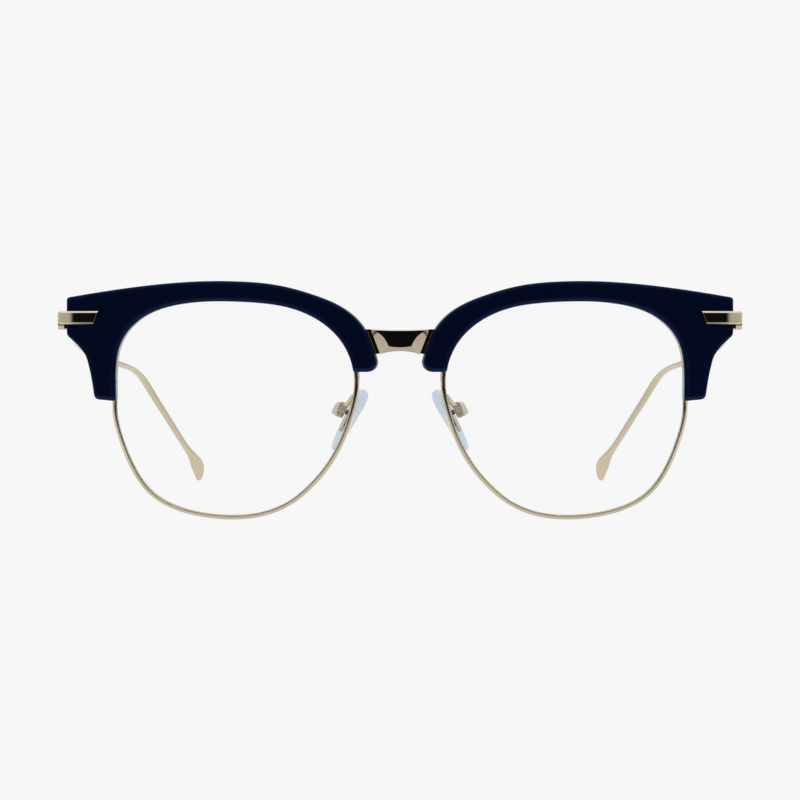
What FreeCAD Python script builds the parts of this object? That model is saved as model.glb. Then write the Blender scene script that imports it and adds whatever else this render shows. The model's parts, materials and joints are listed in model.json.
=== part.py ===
import FreeCAD, Part
import os
from math import asin, cos, degrees, radians, sin, sqrt, tan

from FreeCAD import Placement, Rotation, Vector

# Browline glasses. X runs across the face, Y runs back to the ears, Z is up.
# Lengths are millimetres. The left eye of the wearer (plus X) is built and mirrored.

# Fits: FIT between pieces fixed to one another, RUN round a turning pin,
# SWING between pieces that move past one another.
FIT = 0.05
RUN = 0.04
SWING = 0.15
OVERRUN = 1.0

# The eye opening: radius every 15 degrees from the temple side over the top,
# as a share of half the eye width.
EYE_HALF = 25.15
EYE_SHARES = [
    1.000, 1.039, 1.104, 1.075, 0.987, 0.914, 0.882, 0.898,
    0.951, 1.010, 1.044, 1.023, 0.957, 0.911, 0.887, 0.878,
    0.886, 0.886, 0.886, 0.903, 0.945, 0.984, 0.980, 0.981,
]
OUTLINE_STEPS = 48
NOSE_HALF = 7.841
NOSE_SHARE = 1.06
EYE_X = NOSE_HALF + NOSE_SHARE * EYE_HALF
RIM_WIDTH = 0.95
EYE_Z = 0.8925 * EYE_HALF + RIM_WIDTH
FRONT_CURVE = 140.0
WRAP = 5.0
SLAB = 30.0

# Rim and lens, depths measured back from the rim front.
RIM_DEPTH = 2.4
RIM_ROUND = 0.16
GROOVE = 0.5
GROOVE_FRONT = 0.75
GROOVE_BACK = 1.55
LENS_FRONT = 0.3
LENS_BACK = 2.0
SLIT = 0.3
RIM_STEPS = 120
RIM_CORNER_STEPS = 2
PLACE_SHARE = 0.00001

# Closing block of the rim, on the temple side.
BLOCK_Z = 8.6
BLOCK_WIDE = 2.4
BLOCK_HIGH = 1.8
BLOCK_FRONT = 0.2
CLOSING_R = 0.5
CLOSING_HEAD_R = 0.85
CLOSING_HEAD = 0.45

# Brow: outline points as shares of half the eye width, from the lens centre.
BROW_FRONT = 1.6
BROW_BACK = 2.9
BROW_TOP_SHARES = [
    (1.448, 0.922), (1.189, 0.961), (0.941, 0.995), (0.697, 1.023),
    (0.457, 1.043), (0.219, 1.053), (-0.047, 1.049), (-0.351, 1.019),
    (-0.639, 0.942), (-0.891, 0.831), (-1.042, 0.697), (-1.144, 0.495),
    (-1.191, 0.301),
]
BROW_LEG_SHARES = [
    (1.183, 0.073), (1.198, 0.169), (1.218, 0.275), (1.240, 0.361),
    (1.267, 0.435), (1.300, 0.480), (1.352, 0.534), (1.437, 0.604),
]
BROW_NOSE_IN_SHARES = (-0.700, 0.301)
BROW_LEG_IN_SHARES = (0.700, 0.030)
CORNER_TOP = 0.7
CORNER_END = 1.5
CORNER_LEG = 1.2
CORNER_NOSE = 2.0
CORNER_INNER = 0.6
BROW_ROUND = 0.6
BROW_ROUND_BACK = 0.4

# End piece: a bent strap let into the brow, with a deeper heel behind its bend.
STRAP_REACH = 7.5672
STRAP_DROP = 4.2847
STRAP_OUT = 1.3828
STRAP_START = BROW_TOP_SHARES[0][0] * EYE_HALF - STRAP_REACH
STRAP_Z = EYE_Z + BROW_TOP_SHARES[0][1] * EYE_HALF - STRAP_DROP
STRAP_X = EYE_X + BROW_TOP_SHARES[0][0] * EYE_HALF + STRAP_OUT
STRAP_HIGH = 2.75
STRAP_THICK = 1.3
STRAP_PROUD = 0.5
STRAP_BEND = 2.6
STRAP_BEVEL = 0.35
STRAP_SLANT = 22.0
HEEL_DROP = 1.1
HEEL_ROUND = 0.9
END_SCREW_FIRST = 2.2
END_SCREW_PITCH = 3.2
END_SCREW_R = 0.55
END_HEAD_R = 1.1
END_HEAD = 0.6

# Temple hinge: three knuckles on an upright screw.
HINGE_Y = 17.5
HINGE_HIGH = 3.4
KNUCKLE = 1.1
KNUCKLE_GAP = 0.05
BARREL_R = 1.15
LEAF = 4.8
HINGE_SCREW_R = 0.6
HINGE_HEAD_R = 1.0
HINGE_HEAD = 0.5
DRIVE_SLOT = 0.25
BUTT_GAP = 0.1

# Bridge: a plate behind the brows, a shoulder between them, a faceted crown in front.
BRIDGE_FACE = 0.9
BRIDGE_THICK = 1.4
SHOULDER_RISE = 1.3
CROWN_RISE = 1.1
BRIDGE_DROP = 1.0759
BRIDGE_TOP = EYE_Z + BROW_TOP_SHARES[-3][1] * EYE_HALF - BRIDGE_DROP
BRIDGE_TOP_SAG = 0.15
BRIDGE_HIGH = 5.35
BRIDGE_LOW = BRIDGE_TOP - BRIDGE_HIGH
ARCH_RISE = 0.8
BRIDGE_ARCH = BRIDGE_LOW + ARCH_RISE
BRIDGE_TOP_HALF = 8.4
BRIDGE_LOW_HALF = 5.6
SHOULDER_TOP_HALF = 6.95
SHOULDER_LOW_HALF = 4.9
CROWN_TOP_HALF = 6.05
CROWN_LOW_HALF = 4.1
PANEL_DROP = 0.2
PANEL_TOP = BRIDGE_TOP - PANEL_DROP
PANEL_TOP_HALF = 5.75
PANEL_WAIST_HALF = 3.5
WAIST_DROP = 1.45
PANEL_WAIST = PANEL_TOP - WAIST_DROP
PANEL_LOW_HALF = 2.4
PANEL_HIGH = 3.35
PANEL_LOW = PANEL_TOP - PANEL_HIGH
PANEL_SAG = 0.25
TAB_DROP = 0.95
TAB_HIGH = 3.5
TAB_TOP = BRIDGE_TOP - TAB_DROP
TAB_LOW = TAB_TOP - TAB_HIGH
TAB_REACH = 14.0
BROW_SCREW_X = 8.6
BROW_SCREW_RISE = 1.7
BROW_SCREW_Z = TAB_LOW + BROW_SCREW_RISE
BROW_SCREW_R = 0.5
BROW_SCREW_DEPTH = 0.75
BROW_HEAD_R = 1.0
BROW_HEAD = 0.45

# Nose pads, on a box at the end of a bent wire arm.
ARM_INSET = 0.5315
ARM_RISE = 2.3036
ARM_X = EYE_X - EYE_SHARES[12] * EYE_HALF - ARM_INSET
ARM_Z = EYE_Z + ARM_RISE
PAD_OUT = 2.5
PAD_DROP = 0.4964
PAD_X = ARM_X + PAD_OUT
PAD_Y = 9.0
PAD_Z = EYE_Z - PAD_DROP
PAD_SPLAY = 14.0
PAD_TILT = 26.5
PAD_LONG = 14.4
PAD_WIDE = 6.6
PAD_THICK = 1.8
PAD_FACE_CURVE = 30.0
PAD_ROUND = 0.45
PAD_OFF = 1.75
PAD_BELOW = 1.2
MOUNT_LONG = 8.4
MOUNT_WIDE = 2.6
MOUNT_THICK = 0.5
LUG_R = 0.7
LUG_WIDE = 1.3
NECK = 1.0
BOX_R = 1.45
BOX_HIGH = 3.2
BOX_LIP = 0.65
BOX_ROUND_TOP = 1.15
BOX_ROUND_LOW = 0.45
EAR = 0.6
EAR_GAP = 0.1
BOX_FLOOR = 0.85
PAD_SCREW_R = 0.4
PAD_HEAD_R = 0.8
PAD_HEAD = 0.4
ARM_R = 0.5
ARM_BEND = 1.3

# Temple: guide points of its centre line as shares of its reach, and cross sections
# as station share, half thickness and half height (shares of the strip height), rounding.
TEMPLE_REACH = 119.6
TEMPLE_GUIDE_SHARES = [
    (0.000, 0.000, 0.000), (0.001, 0.060, -0.002), (0.016, 0.220, -0.026),
    (0.023, 0.400, -0.050), (0.006, 0.580, -0.074), (-0.018, 0.740, -0.095),
    (-0.034, 0.836, -0.107), (-0.050, 0.872, -0.118), (-0.066, 0.889, -0.155),
    (-0.099, 0.924, -0.213), (-0.131, 0.955, -0.267), (-0.154, 0.976, -0.302),
    (-0.157, 0.990, -0.325), (-0.154, 1.000, -0.341),
]
TEMPLE_SECTION_SHARES = [
    (0.04, 0.236, 0.690, 0.35), (0.12, 0.240, 0.600, 0.50), (0.22, 0.269, 0.490, 0.65),
    (0.36, 0.309, 0.400, 0.80), (0.60, 0.318, 0.380, 0.85), (0.72, 0.330, 0.356, 0.85),
    (0.80, 0.335, 0.325, 0.85), (0.87, 0.315, 0.300, 0.85), (0.905, 0.330, 0.285, 0.85),
    (0.925, 0.420, 0.278, 0.85), (0.945, 0.600, 0.270, 0.85), (0.962, 0.770, 0.262, 0.85),
    (0.980, 0.770, 0.245, 0.85), (1.00, 0.300, 0.120, 0.85),
]
TEMPLE_STEPS = 48
TEMPLE_CORNER_STEPS = 4
STRIP_ROUND_SHARE = 0.35

UP = Vector(0, 0, 1)
BACK = Vector(0, 1, 0)
ACROSS = Vector(1, 0, 0)
ORIGIN = Vector(0, 0, 0)


def eye_curve():
    """The edge of the eye opening as a closed curve."""
    points = []
    for i, share in enumerate(EYE_SHARES):
        turn = radians(360 * i / len(EYE_SHARES))
        points.append(Vector(cos(turn), 0, sin(turn)) * (share * EYE_HALF))
    curve = Part.BSplineCurve()
    curve.interpolate(Points=points, PeriodicFlag=True)
    return curve


def eye_slab(grow):
    """A thick slab with the outline of the eye opening grown by a margin."""
    curve = eye_curve()
    first = curve.FirstParameter
    span = curve.LastParameter - first
    points = []
    for i in range(OUTLINE_STEPS):
        at = first + span * i / OUTLINE_STEPS
        outward = BACK.cross(curve.tangent(at)[0])
        points.append(curve.value(at) + outward * grow)
    edge = Part.BSplineCurve()
    edge.interpolate(Points=points, PeriodicFlag=True)
    return slab([edge.toShape()])


def slab(edges):
    """Edges in the front plane, filled and made SLAB thick about it."""
    face = Part.Face(Part.Wire(edges))
    face.translate(BACK * (-SLAB / 2))
    return face.extrude(BACK * SLAB)


def ball(depth):
    """The inside of the front curve at a depth behind the rim front."""
    return Part.makeSphere(FRONT_CURVE - depth, BACK * FRONT_CURVE)


def curved(shape, front, back):
    """The part of a slab between two depths of the front curve."""
    return shape.common(ball(front)).cut(ball(back))


def seat(shape):
    """An eye piece turned by the wrap angle and moved to its place on the face."""
    shape = shape.copy()
    shape.rotate(ORIGIN, UP, WRAP)
    shape.translate(Vector(EYE_X, 0, EYE_Z))
    return shape


def mirrored(shape):
    """The same piece on the other side of the face."""
    return shape.mirror(ORIGIN, ACROSS)


def box(low, high):
    """A box between two corners."""
    size = high - low
    return Part.makeBox(size.x, size.y, size.z, low)


def pin(radius, start, end):
    """A round pin between two points."""
    along = end - start
    return Part.makeCylinder(radius, along.Length, start, along)


def edges_on(shape, ball_depth):
    """Edges that lie on the front curve at a depth."""
    centre = BACK * FRONT_CURVE
    radius = FRONT_CURVE - ball_depth
    found = []
    for edge in shape.Edges:
        ends = [edge.valueAt(t) for t in (edge.FirstParameter, edge.LastParameter)]
        ends.append(edge.valueAt((edge.FirstParameter + edge.LastParameter) / 2))
        if all(abs((p - centre).Length - radius) < FIT / 10 for p in ends):
            found.append(edge)
    return found


def rounded(wide, high, edge, steps):
    """Points of an oblong from the origin, its corners rounded in a few steps."""
    spots = []
    centres = ((wide - edge, high - edge), (edge, high - edge), (edge, edge), (wide - edge, edge))
    for i, (across, up) in enumerate(centres):
        for k in range(steps + 1):
            turn = radians(90 * (i + k / steps))
            spots.append((across + edge * cos(turn), up + edge * sin(turn)))
    return spots


def rim_section(curve, at):
    """Cross section of the rim, grooved on the lens side, at a place on the eye curve."""
    inner = curve.value(at)
    outward = BACK.cross(curve.tangent(at)[0])

    def place(out, deep):
        foot = inner + outward * out
        return foot + BACK * (FRONT_CURVE - sqrt((FRONT_CURVE - deep) ** 2 - foot.Length ** 2))

    spots = rounded(RIM_WIDTH, RIM_DEPTH, RIM_ROUND, RIM_CORNER_STEPS)
    half = len(spots) // 2
    groove = [(0, GROOVE_BACK), (GROOVE, GROOVE_BACK), (GROOVE, GROOVE_FRONT), (0, GROOVE_FRONT)]
    spots = spots[:half] + groove + spots[half:]
    return Part.makePolygon([place(*spot) for spot in spots + spots[:1]])


def slit_place(curve, level):
    """Place on the eye curve, on the temple side, at a height above the lens centre."""
    low = curve.FirstParameter
    high = low + (curve.LastParameter - low) / 4
    while high - low > (curve.LastParameter - curve.FirstParameter) * PLACE_SHARE:
        middle = (low + high) / 2
        low, high = (middle, high) if curve.value(middle).z < level else (low, middle)
    return low


def make_rim():
    """An open ring, slit at the closing block."""
    curve = eye_curve()
    first = curve.FirstParameter
    span = curve.LastParameter - first
    start = slit_place(curve, BLOCK_Z + SLIT / 2)
    reach = span - start + slit_place(curve, BLOCK_Z - SLIT / 2)
    wires = []
    for i in range(RIM_STEPS + 1):
        at = first + (start - first + reach * i / RIM_STEPS) % span
        wires.append(rim_section(curve, at))
    return Part.makeLoft(wires, True, False)


def make_lens():
    glass = curved(eye_slab(-FIT), LENS_FRONT, LENS_BACK)
    tongue = curved(eye_slab(GROOVE - FIT), GROOVE_FRONT + FIT, GROOVE_BACK - FIT)
    return glass.fuse(tongue).removeSplitter()


def block_reach():
    """Outer face of the closing block, measured from the lens centre."""
    return EYE_SHARES[1] * EYE_HALF + RIM_WIDTH + BLOCK_WIDE


def block_depth():
    """Depth of the rim front at the closing block, by the front curve."""
    return FRONT_CURVE - sqrt(FRONT_CURVE ** 2 - block_reach() ** 2 - BLOCK_Z ** 2)


def closing_axis():
    """A point on the closing screw, level with the slit."""
    across = block_reach() - BLOCK_WIDE / 2
    return Vector(across, block_depth() + (BLOCK_FRONT + RIM_DEPTH) / 2, BLOCK_Z)


def make_closing_block():
    deep = block_depth()
    halves = []
    for side in (-1, 1):
        low = BLOCK_Z + side * SLIT / 2
        high = low + side * BLOCK_HIGH
        half = box(
            Vector(block_reach() - BLOCK_WIDE - OVERRUN, deep + BLOCK_FRONT, min(low, high)),
            Vector(block_reach(), deep + RIM_DEPTH, max(low, high)),
        )
        halves.append(half.cut(eye_slab(RIM_WIDTH + FIT / 10)))
    at = closing_axis()
    hole = pin(CLOSING_R + FIT, at - UP * SLAB / 2, at + UP * SLAB / 2)
    return Part.makeCompound([half.cut(hole) for half in halves])


def make_closing_screw():
    at = closing_axis()
    rise = SLIT / 2 + BLOCK_HIGH
    shank = pin(CLOSING_R, at - UP * rise, at + UP * rise)
    head = pin(CLOSING_HEAD_R, at + UP * rise, at + UP * (rise + CLOSING_HEAD))
    return shank.fuse(head).removeSplitter()


def block_pocket():
    """Room in the brow for the closing block and its screw head, open to the back."""
    rise = SLIT / 2 + BLOCK_HIGH + FIT
    return box(
        Vector(block_reach() - BLOCK_WIDE - OVERRUN, block_depth() + BLOCK_FRONT - FIT, BLOCK_Z - rise),
        Vector(block_reach() + FIT, SLAB / 2, BLOCK_Z + rise + CLOSING_HEAD),
    )


def brow_spots(shares):
    return [Vector(a * EYE_HALF, 0, b * EYE_HALF) for a, b in shares]


def spline_edge(points):
    curve = Part.BSplineCurve()
    curve.interpolate(Points=points)
    return curve.toShape()


def upright_edge(shape, spot):
    """The front-to-back edge of a slab nearest a spot of its outline."""
    def off(edge):
        middle = edge.valueAt((edge.FirstParameter + edge.LastParameter) / 2)
        return Vector(middle.x - spot.x, 0, middle.z - spot.z).Length
    ways = [e for e in shape.Edges if e.BoundBox.YLength > SLAB / 2]
    return min(ways, key=off)


def brow_slab():
    """Outline of the brow, less the eye opening, with its corners rounded."""
    top = brow_spots(BROW_TOP_SHARES)
    leg = brow_spots(BROW_LEG_SHARES)
    nose_in, leg_in = brow_spots([BROW_NOSE_IN_SHARES, BROW_LEG_IN_SHARES])
    edges = [spline_edge(top), Part.makeLine(top[-1], nose_in)]
    edges += [Part.makeLine(nose_in, leg_in), Part.makeLine(leg_in, leg[0])]
    edges += [spline_edge(leg), Part.makeLine(leg[-1], top[0])]
    shape = slab(edges).cut(eye_slab(0))
    corners = [(CORNER_TOP, top[0]), (CORNER_NOSE, top[-1])]
    corners += [(CORNER_LEG, leg[0]), (CORNER_END, leg[-1])]
    for radius, spot in corners:
        shape = shape.makeFillet(radius, [upright_edge(shape, spot)])
    for inner in (nose_in, leg_in):
        shape = round_inner(shape, inner)
    return shape


def round_inner(shape, spot):
    """Round the corner where the bottom of the brow meets the eye opening."""
    side = 1 if spot.x > 0 else -1
    reach = Vector(side * EYE_HALF, 0, spot.z)
    return shape.makeFillet(CORNER_INNER, [upright_edge(shape, reach)])


def make_brow_blank():
    """The curved brow with its groove for the rim and its edges rounded."""
    blank = curved(brow_slab(), -BROW_FRONT, BROW_BACK)
    blank = blank.cut(curved(eye_slab(RIM_WIDTH + FIT), -FIT, RIM_DEPTH + FIT))
    blank = blank.makeFillet(BROW_ROUND, edges_on(blank, -BROW_FRONT))
    return blank.makeFillet(BROW_ROUND_BACK, edges_on(blank, BROW_BACK))


def strap_angle():
    """Slope of the brow front under the strap, seen from above."""
    return WRAP + degrees(asin(STRAP_START / FRONT_CURVE))


def strap_root():
    """The nose-side end of the strap on the brow front, seen from above."""
    rise = STRAP_Z - EYE_Z
    sag = FRONT_CURVE - sqrt(FRONT_CURVE ** 2 - STRAP_START ** 2 - rise ** 2)
    spot = Vector(STRAP_START, sag - BROW_FRONT, 0)
    return Rotation(UP, WRAP).multVec(spot) + Vector(EYE_X, 0, 0)


def strap_line(inset):
    """Strap line at an inset from its outer face: start, bend, butt end."""
    slope = radians(strap_angle())
    along = Vector(cos(slope), sin(slope), 0)
    out = Vector(sin(slope), -cos(slope), 0)
    start = strap_root() + out * (STRAP_PROUD - inset)
    edge_x = STRAP_X - inset
    corner = start + along * ((edge_x - start.x) / along.x)
    radius = STRAP_BEND - inset
    half_turn = (radians(90) - slope) / 2
    tangent = radius * tan(half_turn)
    bend_in = corner - along * tangent
    bend_out = corner + BACK * tangent
    centre = bend_out - ACROSS * radius
    middle = centre + Vector(cos(half_turn), -sin(half_turn), 0) * radius
    end = Vector(edge_x, HINGE_Y, 0)
    return start, bend_in, middle, bend_out, end


def strap_body(grow):
    """The bent strap, grown by a margin for its slot in the brow."""
    outer = strap_line(-grow)
    inner = strap_line(STRAP_THICK + grow)
    edges = [
        Part.makeLine(outer[0], outer[1]),
        Part.Arc(outer[1], outer[2], outer[3]).toShape(),
        Part.makeLine(outer[3], outer[4]),
        Part.makeLine(outer[4], inner[4]),
        Part.makeLine(inner[4], inner[3]),
        Part.Arc(inner[3], inner[2], inner[1]).toShape(),
        Part.makeLine(inner[1], inner[0]),
        Part.makeLine(inner[0], outer[0]),
    ]
    high = STRAP_HIGH + 2 * grow
    face = Part.Face(Part.Wire(edges))
    face.translate(UP * (STRAP_Z - high / 2))
    body = face.extrude(UP * high)
    return body.cut(strap_slant(grow))


def strap_slant(grow):
    """A block that trims the nose-side end of the strap at a slant."""
    size = STRAP_HIGH * 2
    block = box(Vector(-size, -size, -size), Vector(STRAP_HIGH / 4 - grow, size, size))
    block.rotate(ORIGIN, BACK, -STRAP_SLANT)
    block.rotate(ORIGIN, UP, strap_angle())
    block.translate(strap_root() + UP * STRAP_Z)
    return block


def heel_level():
    """Height of the middle of the strap behind its bend."""
    return STRAP_Z - HEEL_DROP / 2


def strap_heel():
    """The deeper part of the strap behind its bend, where the hinge sits."""
    low = Vector(STRAP_X - STRAP_THICK, strap_line(0)[3].y, STRAP_Z - STRAP_HIGH / 2 - HEEL_DROP)
    heel = box(low, Vector(STRAP_X, HINGE_Y, STRAP_Z))
    def off(edge):
        return abs(edge.CenterOfMass.y - low.y) + abs(edge.CenterOfMass.z - low.z)
    return heel.makeFillet(HEEL_ROUND, [min(heel.Edges, key=off)])


def make_endpiece():
    strap = strap_body(0).fuse(strap_heel()).removeSplitter()
    start, bend_in, middle, bend_out, end = strap_line(0)
    rails = []
    for edge in strap.Edges:
        spot = edge.valueAt((edge.FirstParameter + edge.LastParameter) / 2)
        level = abs(abs(spot.z - STRAP_Z) - STRAP_HIGH / 2) < FIT / 10
        if level and on_line(spot, start, bend_in, middle, bend_out, end):
            rails.append(edge)
    strap = strap.makeChamfer(STRAP_BEVEL, rails)
    for start, end in end_screw_lines():
        strap = strap.cut(pin(END_SCREW_R + FIT / 2, start, end))
    return strap


def on_line(spot, start, bend_in, middle, bend_out, end):
    """True for a spot on the outer line of the strap, seen from above."""
    line = Part.Wire([
        Part.makeLine(start - (bend_in - start), bend_in),
        Part.Arc(bend_in, middle, bend_out).toShape(),
        Part.makeLine(bend_out, end),
    ])
    probe = Part.Vertex(Vector(spot.x, spot.y, 0))
    return probe.distToShape(line)[0] < FIT / 10


def end_screw_lines():
    """Centre lines of the end-piece screws, from the strap to the back of the brow."""
    slope = radians(strap_angle())
    along = Vector(cos(slope), sin(slope), 0)
    inward = Vector(-sin(slope), cos(slope), 0)
    lines = []
    for i in range(2):
        spot = strap_root() + along * (END_SCREW_FIRST + i * END_SCREW_PITCH) + UP * STRAP_Z
        tip = spot - inward * (STRAP_PROUD - STRAP_THICK / 2)
        lines.append((tip, spot + inward * (BROW_FRONT + BROW_BACK - END_HEAD)))
    return lines


def make_end_screw(line, grow):
    """A screw along a line, with its head past the far end."""
    tip, seat_spot = line
    along = (seat_spot - tip).normalize()
    shank = pin(END_SCREW_R + grow, tip, seat_spot)
    head_end = seat_spot + along * (END_HEAD + (OVERRUN * 2 if grow else 0))
    head = pin(END_HEAD_R + grow, seat_spot - along * grow, head_end)
    return shank.fuse(head).removeSplitter()


def hinge_axis():
    """Middle of the hinge screw."""
    across = STRAP_X - STRAP_THICK - BARREL_R - SWING
    return Vector(across, HINGE_Y, heel_level())


def knuckle_levels():
    """Bottom, lower split, upper split and top of the hinge, by height."""
    low = heel_level() - HINGE_HIGH / 2
    high = heel_level() + HINGE_HIGH / 2
    return low, low + KNUCKLE, high - KNUCKLE, high


def ring_band(radius, low, high):
    """A disc about the hinge axis between two heights."""
    axis = hinge_axis()
    return pin(radius, Vector(axis.x, axis.y, low), Vector(axis.x, axis.y, high))


def make_front_hinge():
    low, split_low, split_high, high = knuckle_levels()
    axis = hinge_axis()
    leaf = box(
        Vector(axis.x, axis.y - LEAF, low),
        Vector(STRAP_X - STRAP_THICK, axis.y, high),
    )
    body = leaf.fuse(ring_band(BARREL_R, low, high)).removeSplitter()
    body = body.cut(ring_band(BARREL_R + SWING, split_low, split_high))
    return body.cut(ring_band(HINGE_SCREW_R + FIT / 2, low - OVERRUN, high + OVERRUN))


def make_temple_hinge(temple):
    low, split_low, split_high, high = knuckle_levels()
    axis = hinge_axis()
    leaf = box(
        Vector(axis.x, axis.y, low),
        Vector(STRAP_X - STRAP_THICK / 2, axis.y + LEAF, high),
    )
    for band_low, band_high in ((low - OVERRUN, split_low + KNUCKLE_GAP),
                                (split_high - KNUCKLE_GAP, high + OVERRUN)):
        leaf = leaf.cut(ring_band(BARREL_R + SWING, band_low, band_high))
    butt = box(
        Vector(STRAP_X - STRAP_THICK - SWING, axis.y - OVERRUN, low - OVERRUN),
        Vector(STRAP_X + OVERRUN, axis.y + BUTT_GAP, high + OVERRUN),
    )
    leaf = leaf.cut(butt)
    barrel = ring_band(BARREL_R, split_low + KNUCKLE_GAP, split_high - KNUCKLE_GAP)
    body = leaf.fuse(barrel).removeSplitter().cut(temple)
    body = body.cut(ring_band(HINGE_SCREW_R + RUN, low - OVERRUN, high + OVERRUN))
    return max(body.Solids, key=lambda solid: solid.Volume)


def make_hinge_screw():
    low, split_low, split_high, high = knuckle_levels()
    axis = hinge_axis()
    screw = ring_band(HINGE_SCREW_R, low, high)
    screw = screw.fuse(ring_band(HINGE_HEAD_R, high, high + HINGE_HEAD)).removeSplitter()
    slot = box(
        Vector(axis.x - HINGE_HEAD_R - OVERRUN, axis.y - DRIVE_SLOT / 2, high + HINGE_HEAD / 2),
        Vector(axis.x + HINGE_HEAD_R + OVERRUN, axis.y + DRIVE_SLOT / 2, high + HINGE_HEAD + OVERRUN),
    )
    return screw.cut(slot)


def temple_curve():
    """Centre line of the temple, drawn smoothly along its guide points."""
    start = Vector(STRAP_X - STRAP_THICK / 2, HINGE_Y + BUTT_GAP, heel_level())
    points = [start + Vector(x, y, z) * TEMPLE_REACH for x, y, z in TEMPLE_GUIDE_SHARES]
    curve = Part.BSplineCurve()
    curve.buildFromPoles(points, False, 3)
    return curve


def section_wire(curve, share, half_thick, half_high, round_share):
    """A rounded cross section of the temple at a share of its length."""
    at = curve.parameterAtDistance(curve.length() * share, curve.FirstParameter)
    along = curve.tangent(at)[0]
    side = (ACROSS - along * along.x).normalize()
    rise = side.cross(along).normalize()

    corner = curve.value(at) - side * half_thick - rise * half_high
    edge = round_share * min(half_thick, half_high)
    spots = rounded(2 * half_thick, 2 * half_high, edge, TEMPLE_CORNER_STEPS)
    return Part.makePolygon([corner + side * x + rise * z for x, z in spots + spots[:1]])


def section_at(share):
    """Half thickness, half height and rounding of the temple at a share of its length."""
    rows = [(0, STRAP_THICK / 2, (STRAP_HIGH + HEEL_DROP) / 2, STRIP_ROUND_SHARE)]
    for station, thick, high, round_share in TEMPLE_SECTION_SHARES:
        rows.append((station, thick * STRAP_HIGH, high * STRAP_HIGH, round_share))
    after = next(i for i, row in enumerate(rows) if row[0] >= share or i + 1 == len(rows))
    low, high = rows[max(after - 1, 0)], rows[after]
    if high[0] <= low[0]:
        return high[1:]
    part = (share - low[0]) / (high[0] - low[0])
    return [a + (b - a) * part for a, b in zip(low[1:], high[1:])]


def make_temple():
    curve = temple_curve()
    shares = [i / TEMPLE_STEPS for i in range(TEMPLE_STEPS + 1)]
    wires = [section_wire(curve, share, *section_at(share)) for share in shares]
    return Part.makeLoft(wires, True, False)


def outline_wire(corners, depth):
    """Closed outline at a depth from (start, middle) pairs; no middle means a straight edge."""
    spots = [Vector(x, depth, z) for (x, z), middle in corners]
    edges = []
    for i, (start, middle) in enumerate(corners):
        after = spots[(i + 1) % len(spots)]
        if middle is None:
            edges.append(Part.makeLine(spots[i], after))
        else:
            via = Vector(middle[0], depth, middle[1])
            edges.append(Part.Arc(spots[i], via, after).toShape())
    return Part.Wire(edges)


def bridge_plate():
    top = BRIDGE_TOP - BRIDGE_TOP_SAG
    wire = outline_wire([
        ((-BRIDGE_TOP_HALF, BRIDGE_TOP), (0, top)),
        ((BRIDGE_TOP_HALF, BRIDGE_TOP), None),
        ((BRIDGE_LOW_HALF, BRIDGE_LOW), (0, BRIDGE_ARCH)),
        ((-BRIDGE_LOW_HALF, BRIDGE_LOW), None),
    ], BRIDGE_FACE)
    return Part.Face(wire).extrude(BACK * BRIDGE_THICK)


def bridge_front(top_half, low_half, depth):
    """Outline of the bridge between the brows at a depth."""
    low = BRIDGE_LOW + BRIDGE_TOP_SAG
    return outline_wire([
        ((-top_half, BRIDGE_TOP), (0, BRIDGE_TOP - BRIDGE_TOP_SAG)),
        ((top_half, BRIDGE_TOP), None),
        ((low_half, low), (0, BRIDGE_ARCH)),
        ((-low_half, low), None),
    ], depth)


def bridge_shoulder():
    wire = bridge_front(SHOULDER_TOP_HALF, SHOULDER_LOW_HALF, BRIDGE_FACE - SHOULDER_RISE)
    return Part.Face(wire).extrude(BACK * SHOULDER_RISE)


def bridge_crown():
    face = BRIDGE_FACE - SHOULDER_RISE
    base = bridge_front(CROWN_TOP_HALF, CROWN_LOW_HALF, face)
    panel = outline_wire([
        ((-PANEL_TOP_HALF, PANEL_TOP), (0, PANEL_TOP - BRIDGE_TOP_SAG)),
        ((PANEL_TOP_HALF, PANEL_TOP), (PANEL_WAIST_HALF, PANEL_WAIST)),
        ((PANEL_LOW_HALF, PANEL_LOW), (0, PANEL_LOW - PANEL_SAG)),
        ((-PANEL_LOW_HALF, PANEL_LOW), (-PANEL_WAIST_HALF, PANEL_WAIST)),
    ], face - CROWN_RISE)
    return Part.makeLoft([base, panel], True, True)


def bridge_tab(grow):
    """The tab from the bridge to the rim, behind the brow."""
    return box(
        Vector(0, BRIDGE_FACE - grow, TAB_LOW - grow),
        Vector(TAB_REACH, BRIDGE_FACE + BRIDGE_THICK, TAB_TOP + grow),
    )


def brow_screw_line():
    """From the blind end in the brow to the back of the bridge tab."""
    tip = Vector(BROW_SCREW_X, BRIDGE_FACE - BROW_SCREW_DEPTH, BROW_SCREW_Z)
    return tip, Vector(BROW_SCREW_X, BRIDGE_FACE + BRIDGE_THICK, BROW_SCREW_Z)


def make_bridge():
    body = bridge_plate().fuse(bridge_shoulder()).fuse(bridge_crown())
    tab = bridge_tab(0).cut(seat(eye_slab(RIM_WIDTH + FIT / 10)))
    tip, back = brow_screw_line()
    hole = pin(BROW_SCREW_R + FIT, tip, back + BACK * OVERRUN)
    for piece in (tab, mirrored(tab)):
        body = body.fuse(piece)
    body = body.removeSplitter().cut(hole)
    return body.cut(mirrored(hole))


def make_brow_screw():
    tip, back = brow_screw_line()
    head = pin(BROW_HEAD_R, back, back + BACK * BROW_HEAD)
    return pin(BROW_SCREW_R, tip, back).fuse(head).removeSplitter()


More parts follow.
